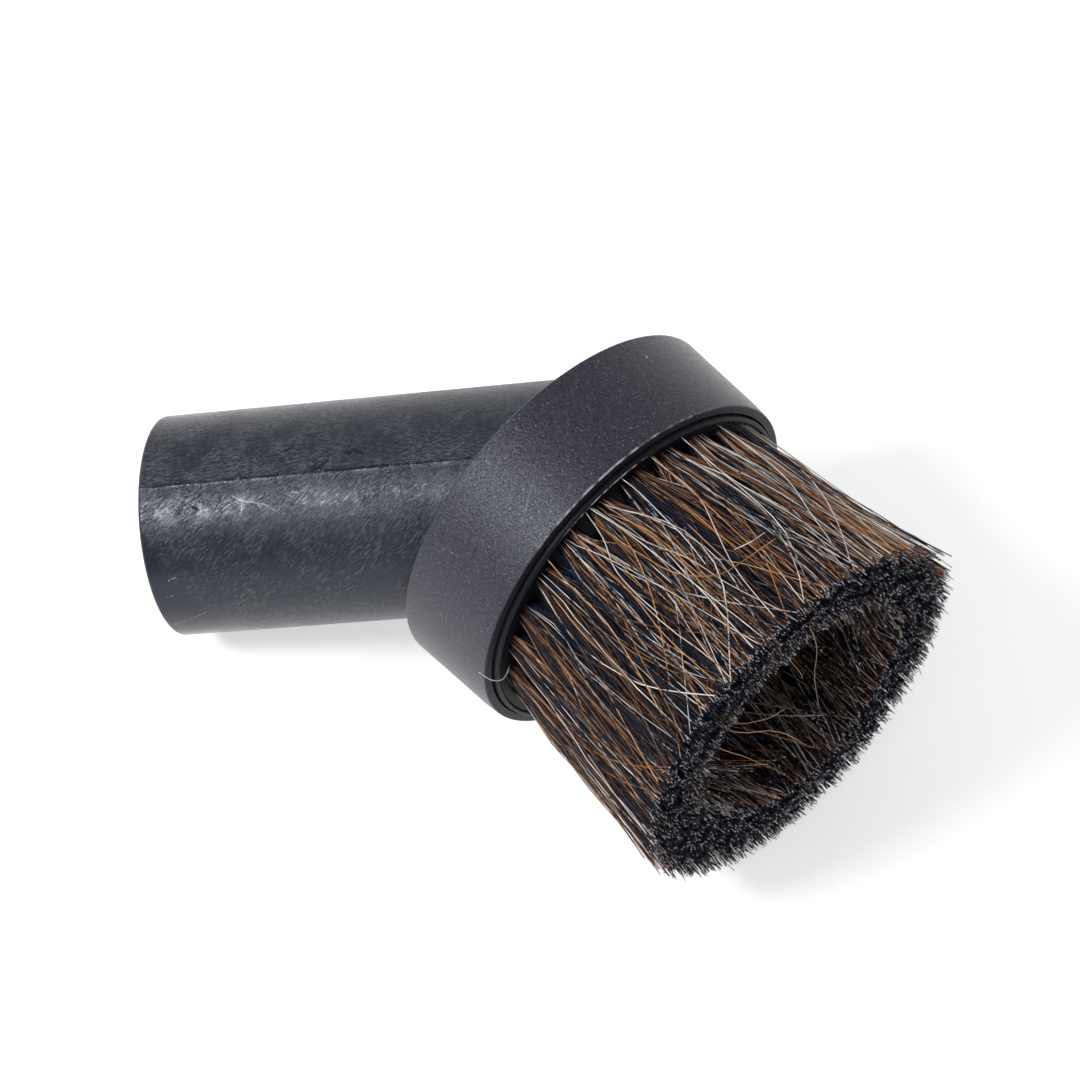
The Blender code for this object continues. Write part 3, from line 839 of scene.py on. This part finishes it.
def hair_tips(rng, angle):
    """Where the hairs of the tuft at an angle end, and how far they stray, bow and droop, in metres."""
    height = BRISTLE_REACH + np.minimum(by_wisp(rng, WISP_UNEVEN), WISP_PROUD)
    height -= np.abs(by_hair(rng, HAIR_UNEVEN))
    proud = some(rng, PROUD_SHARE)
    height[proud] += rng.uniform(0.0, PROUD_BY, proud.sum())
    short = some(rng, SHORT_SHARE)
    height[short] = BRISTLE_REACH * rng.uniform(*SHORT_REACH, short.sum())

    outward = by_wisp(rng, WISP_OUTWARD) + by_hair(rng, HAIR_OUTWARD)
    sideways = by_wisp(rng, WISP_SIDEWAYS) + by_hair(rng, HAIR_SIDEWAYS)
    bow = by_hair(rng, HAIR_BOW)
    tangled = np.zeros(HAIRS_PER_TUFT, bool)
    for kind in (CROSSING, WILD):
        chosen = TUFT.exposed & some(rng, kind.share)
        sideways[chosen] += rng.normal(0.0, kind.sideways, chosen.sum())
        outward[chosen] = np.sign(TUFT.square_x[chosen]) * rng.uniform(*kind.outward, chosen.sum())
        bow[chosen] = rng.normal(0.0, kind.bow, chosen.sum())
        tangled |= chosen

    drooping = (TUFT.square_x < INNERMOST) & some(rng, DROOPING_SHARE)
    droop = np.where(drooping, rng.uniform(*DROOP, HAIRS_PER_TUFT), 0.0)
    height -= droop * DROOP_LOWERS
    splay = nearness(angle, SPLAYED_AT, SPLAYED_SPREAD) * SPLAYED_BY * rng.uniform(0.0, 1.0, HAIRS_PER_TUFT)
    outward += splay * (TUFT.square_x > OUTERMOST)
    return SimpleNamespace(
        height=height, outward=outward, sideways=sideways, bow=bow, droop=droop, tangled=tangled)


def fan_out(up):
    """Radius and sideways place of still hairs, which leave a round hole and spread over a sector."""
    rise = np.clip(up, 0.0, 1.0)
    fan = 1.0 - np.exp(-FAN_RATE * rise)
    gather = GATHERED_MIDWAY * np.sin(rise * math.pi) ** 0.8 + GATHERED_AT_TIPS * rise ** 2
    across_x = TUFT.square_x[:, None] + (TUFT.centre_x - TUFT.square_x)[:, None] * gather
    across_y = TUFT.square_y[:, None] + (TUFT.centre_y - TUFT.square_y)[:, None] * gather
    r = TUFT_CIRCLE_R + (TIP_MID_R - TUFT_CIRCLE_R) * up
    r = r + (1 - up) * TUFT_ROOT_R * TUFT.disc_x[:, None] + up * TIP_BAND / 2 * across_x
    sector = TUFT_SECTOR / 2 * r * across_y
    side = (1 - fan) * TUFT_ROOT_R * TUFT.disc_y[:, None] + fan * sector
    return r, side


def wave(rng, r, side, up, sway, sway_phase):
    """Adds waves: slow ones that a wisp shares, and quicker ones of each hair's own."""
    free = np.clip(up / STIFF_TO, 0.0, 1.0) ** 1.5
    r = r + free * sway[:, :1] * np.sin(up * SWAY_OUTWARD_RATE + sway_phase[:, :1])
    side = side + free * sway[:, 1:] * SWAY_SIDEWAYS * np.sin(up * SWAY_SIDEWAYS_RATE + sway_phase[:, 1:])
    for waves, size in HAIR_WAVES:
        amount = rng.normal(0.0, size, (HAIRS_PER_TUFT, 2))
        phase = rng.uniform(0, math.tau, (HAIRS_PER_TUFT, 2))
        r = r + free * amount[:, :1] * WAVES_OUTWARD * np.sin(up * waves * math.tau + phase[:, :1])
        side = side + free * amount[:, 1:] * np.sin(up * waves * math.tau + phase[:, 1:])
    return r, side


def stray(r, side, up, tips, angle):
    """Carries the hairs towards where their tips have strayed, drooped, leant or been pressed."""
    drooped = np.clip((up - DROOP_FROM) / (1.0 - DROOP_FROM), 0.0, HIGHEST) ** DROOP_POWER
    r = r + up ** STRAY_POWER * tips.outward[:, None]
    r = r - drooped * tips.droop[:, None]
    side = side + up ** STRAY_POWER * tips.sideways[:, None]
    side = side + np.sin(np.clip(up, 0.0, 1.0) * math.pi) * tips.bow[:, None]
    pressed = nearness(angle, PRESSED_AT, PRESSED_SPREAD) * PRESSED_BY
    leaning = nearness(angle, LEANING_AT, LEANING_SPREAD) * LEANING_BY * (1 - TUFT.square_x) / 2
    r = r - up ** LEAN_POWER * (pressed + leaning)[:, None]
    return r, side


def hair_lines(rng, angle):
    """Centre lines (hairs, points, 3) of a tuft at an angle, in the brush's frame, and which are tangled."""
    sway = rng.normal(0.0, WISP_SWAY, (WISPS, 2))[TUFT.wisp]
    sway_phase = rng.uniform(0, math.tau, (WISPS, 2))[TUFT.wisp]
    tips = hair_tips(rng, angle)
    z = HAIR_ROOT_Z + (tips.height[:, None] - HAIR_ROOT_Z) * HAIR_STATIONS[None, :]
    up = np.clip(z / BRISTLE_REACH, 0.0, HIGHEST)
    r, side = fan_out(up)
    r, side = wave(rng, r, side, up, sway, sway_phase)
    r, side = stray(r, side, up, tips, angle)
    turn = angle + side / r
    return np.stack((r * np.cos(turn), r * np.sin(turn), z), axis=2), tips.tangled


def hair_tones(rng, angle, tangled):
    """Tones of a tuft: mostly black, with brown, tan and white hairs in bands and among the tangled ones."""
    darkest, palest = BROWN_TONES
    splayed = nearness(angle, SPLAYED_AT, SPLAYED_SPREAD) * (TUFT.square_x > OUTER_LAYER)
    tones = rng.random(HAIRS_PER_TUFT) + by_wisp(rng, WISP_TONE)
    tones += rng.normal(0.0, BAND_TONE, BANDS_ACROSS)[TUFT.band]
    tones += np.where(tangled, TANGLED_TONE, STRAIGHT_TONE) + SPLAYED_TONE * splayed
    tones += np.where(TUFT.exposed, 0.0, BURIED_TONE)
    browns = darkest + (palest - darkest) * rng.beta(1.2, 1.8, HAIRS_PER_TUFT)
    tones = np.where(tones > darkest, browns, np.maximum(tones, 0.0))
    # More pale hairs on the inner side: partly the grey hairs there, partly painted light that lifts the
    # shaded inside of the ring
    inner_paler = np.where(TUFT.square_x < 0.0, INNER_PALER, 0.0)
    pale = TUFT.exposed & some(rng, PALE_SHARE * (1.0 + SPLAYED_PALER * splayed + inner_paler))
    tones[pale] = rng.uniform(palest, 1.0, pale.sum())
    return tones


def hair_radii(rng, tones):
    """Radii of a tuft's hairs, the bright ones a little thicker."""
    thin, thick = HAIR_RADIUS
    radii = thin + (thick - thin) * rng.beta(2.0, 2.0, HAIRS_PER_TUFT)
    bright = np.clip((tones - BRIGHT_FROM) / BRIGHT_RANGE, 0.0, 1.0)
    return radii + BRIGHT_HAIR_EXTRA * bright * rng.uniform(0.4, 1.0, HAIRS_PER_TUFT)


def smooth_line(points, count):
    """Places along a smooth curve through a few points of radius (mm), angle (degrees) and height (mm)."""
    radius, angle, height = np.array(points).T
    angle = np.radians(angle)
    places = np.stack((radius * np.cos(angle), radius * np.sin(angle), height), axis=1) / 1000
    steps = np.linalg.norm(np.diff(places, axis=0), axis=1)
    stations = np.concatenate(([0.0], np.cumsum(steps)))
    slopes = np.gradient(places, stations, axis=0)
    where = np.linspace(0.0, stations[-1], count)
    first = np.clip(np.searchsorted(stations, where, side="right") - 1, 0, len(points) - 2)
    span = (stations[first + 1] - stations[first])[:, None]
    t = (where - stations[first])[:, None] / span
    line = (2 * t ** 3 - 3 * t ** 2 + 1) * places[first]
    line += (t ** 3 - 2 * t ** 2 + t) * span * slopes[first]
    line += (3 * t ** 2 - 2 * t ** 3) * places[first + 1]
    line += (t ** 3 - t ** 2) * span * slopes[first + 1]
    return line


def tube_rings(lines, radii, spins):
    """Three-sided tubes round centre lines: points (hairs, points, sides, 3)."""
    along = np.gradient(lines, axis=1)
    along /= np.linalg.norm(along, axis=2, keepdims=True)
    first = np.cross(along, np.array((0.0, 1.0, 0.3)) / math.hypot(1.0, 0.3))
    first /= np.linalg.norm(first, axis=2, keepdims=True)
    second = np.cross(along, first)
    angles = spins[:, None] + np.arange(HAIR_SIDES) * math.tau / HAIR_SIDES
    offsets = (first[:, :, None, :] * np.cos(angles)[:, None, :, None]
               + second[:, :, None, :] * np.sin(angles)[:, None, :, None])
    return lines[:, :, None, :] + offsets * radii[:, None, None, None]


def hair_faces(count, levels):
    """Corner indices of the tubes' side quads and end triangles, and each corner's place in its patch."""
    ring = HAIR_SIDES
    quads, quad_uv = [], []
    for p in range(levels - 1):
        for s in range(ring):
            here = p * ring
            following = (s + 1) % ring
            quads.append((here + s, here + following, here + ring + following, here + ring + s))
            for step, level in ((s, p), (s + 1, p), (s + 1, p + 1), (s, p + 1)):
                u = STRIP_LEFT + STRIP_WIDTH * step / ring
                v = STRIP_BOTTOM + STRIP_HEIGHT * level / (levels - 1)
                quad_uv.append((u, v))
    last = (levels - 1) * ring
    ends = [tuple(range(ring))[::-1], tuple(last + s for s in range(ring))]
    end_uv = []
    for left in END_LEFTS:
        end_uv += [(left, END_BOTTOM), (left + END_WIDTH, END_BOTTOM), (left + END_WIDTH / 2, END_TOP)]
    base = np.arange(count)[:, None] * levels * ring
    corners = np.array([c for face in quads + ends for c in face])[None, :] + base
    sizes = np.tile([4] * len(quads) + [3] * len(ends), count)
    return corners.ravel(), sizes, np.array(quad_uv + end_uv)


def hair_object(name, lines, stations, radii, tones, rng):
    """One mesh of hairs, each a closed tube with its own patch of the texture map."""
    count = len(lines)
    world = np.array(BRUSH)
    lines = lines @ world[:3, :3].T + world[:3, 3]
    lines[:, :, 2] = np.maximum(lines[:, :, 2], radii[:, None] + FLOOR_GAP)
    points = tube_rings(lines, radii, rng.uniform(0, math.tau, count))
    corners, sizes, patch_uv = hair_faces(count, len(stations))

    mesh = bpy.data.meshes.new(name)
    mesh.vertices.add(points.size // 3)
    mesh.vertices.foreach_set("co", points.ravel())
    mesh.loops.add(len(corners))
    mesh.loops.foreach_set("vertex_index", corners)
    mesh.polygons.add(len(sizes))
    mesh.polygons.foreach_set("loop_start", np.concatenate(([0], np.cumsum(sizes)[:-1])))
    mesh.polygons.foreach_set("loop_total", sizes)
    mesh.update(calc_edges=True)
    mesh.polygons.foreach_set("use_smooth", sizes == 4)

    side = math.ceil(math.sqrt(count))
    cells = np.stack((np.arange(count) % side, np.arange(count) // side), axis=1)
    uv = (cells[:, None, :] + patch_uv[None, :, :]) / side
    mesh.uv_layers.new(name="OFBake").data.foreach_set("uv", uv.ravel())
    tone = mesh.attributes.new("tone", "FLOAT", "POINT")
    tone.data.foreach_set("value", np.repeat(tones, len(stations) * HAIR_SIDES))
    along = mesh.attributes.new("along", "FLOAT", "POINT")
    along.data.foreach_set("value", np.tile(np.repeat(stations, HAIR_SIDES), count))
    obj = bpy.data.objects.new(name, mesh)
    bpy.context.scene.collection.objects.link(obj)
    return obj


def make_hair():
    """A mesh of hairs for each tuft, and one of the hairs that have strayed furthest."""
    material = hair_material()
    pieces = []
    for number, node in enumerate(TUFTS):
        rng = np.random.default_rng(SEED + number)
        angle = FIRST_TUFT_ANGLE + TUFT_SECTOR * number
        lines, tangled = hair_lines(rng, angle)
        tones = hair_tones(rng, angle, tangled)
        radii = hair_radii(rng, tones)
        piece = hair_object(node.replace("tuft", "hair"), lines, HAIR_STATIONS, radii, tones, rng)
        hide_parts(node)
        pieces.append(piece)
    lines = np.array([smooth_line(points, STRAY_POINTS) for _, points in STRAYS + BRIDGES])
    tones = np.array([tone for tone, _ in STRAYS + BRIDGES])
    radii = np.repeat((STRAY_RADIUS, BRIDGE_RADIUS), (len(STRAYS), len(BRIDGES)))
    rng = np.random.default_rng(SEED)
    stations = np.linspace(0.0, 1.0, STRAY_POINTS)
    pieces.append(hair_object("hair_strays", lines, stations, radii, tones, rng))
    for piece in pieces:
        piece.data.materials.append(material)
        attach(piece, "root")


# The pieces that keep their solid


def smooth_group():
    """Geometry nodes that shade a faceted solid smooth between its sharp edges, its points left in place."""
    tree = bpy.data.node_groups.new("smooth_shading", "GeometryNodeTree")
    tree.interface.new_socket("Geometry", in_out="INPUT", socket_type="NodeSocketGeometry")
    tree.interface.new_socket("Geometry", in_out="OUTPUT", socket_type="NodeSocketGeometry")
    start = tree.nodes.new("NodeGroupInput")
    forget = tree.nodes.new("GeometryNodeRemoveAttribute")
    forget.inputs["Name"].default_value = "custom_normal"
    weld = tree.nodes.new("GeometryNodeMergeByDistance")
    weld.inputs["Distance"].default_value = WELD_DISTANCE
    smooth = tree.nodes.new("GeometryNodeSetShadeSmooth")
    smooth.inputs["Shade Smooth"].default_value = True
    angle = tree.nodes.new("GeometryNodeInputMeshEdgeAngle")
    flat = tree.nodes.new("FunctionNodeCompare")
    flat.operation = "LESS_THAN"
    flat.inputs["B"].default_value = SHARP_ANGLE
    edges = tree.nodes.new("GeometryNodeSetShadeSmooth")
    edges.domain = "EDGE"
    end = tree.nodes.new("NodeGroupOutput")
    links = tree.links
    links.new(start.outputs[0], forget.inputs["Geometry"])
    links.new(forget.outputs["Geometry"], weld.inputs["Geometry"])
    links.new(weld.outputs["Geometry"], smooth.inputs["Geometry"])
    links.new(smooth.outputs["Geometry"], edges.inputs["Geometry"])
    links.new(angle.outputs["Unsigned Angle"], flat.inputs["A"])
    links.new(flat.outputs["Result"], edges.inputs["Shade Smooth"])
    links.new(edges.outputs["Geometry"], end.inputs[0])
    return tree


def dress(node, material, smoothing=None):
    """Gives a CAD node its material, and smooth shading where it is round."""
    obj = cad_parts[node]
    for slot in obj.material_slots:
        slot.material = material
    if smoothing is not None:
        obj.modifiers.new("smooth_shading", "NODES").node_group = smoothing
        weights = obj.modifiers.new("weighted_normals", "WEIGHTED_NORMAL")
        weights.keep_sharp = True


def main():
    scene = bpy.context.scene
    scene.view_settings.view_transform = "Standard"
    make_camera()
    make_key_light()
    make_room()
    make_floor()
    smoothing = smooth_group()
    dress("housing", housing_material(), smoothing)
    dress("bristle_ring", ring_material(), smoothing)
    wire = wire_material()
    for node in numbered_nodes("anchor"):
        dress(node, wire)
    make_hair()


main()
